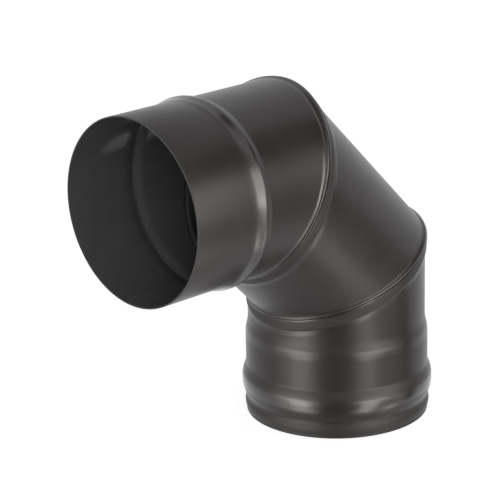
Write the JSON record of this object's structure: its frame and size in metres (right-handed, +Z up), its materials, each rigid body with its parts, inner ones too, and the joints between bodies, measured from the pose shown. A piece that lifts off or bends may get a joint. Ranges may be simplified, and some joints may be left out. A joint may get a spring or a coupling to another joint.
{
  "type": "stove pipe elbow",
  "caption": "Gored right-angle stove pipe elbow in satin black sheet steel, with a beaded spigot at one end and a beaded socket at the other.",
  "frame": {"origin": "centre of the socket's rim, in the rim's plane", "axes": "+Z up along the socket's axis into the elbow; the spigot's mouth faces -X; the bend lies in the XZ plane, which is its plane of symmetry"},
  "size_m": [0.2338, 0.124, 0.2304],
  "materials": {
    "black_sheet": "satin black heat-resistant paint on sheet steel"
  },
  "bodies": {
    "root": {"spigot_segment": "black_sheet", "middle_segment": "black_sheet", "socket_segment": "black_sheet"}
  },
  "joints": []
}
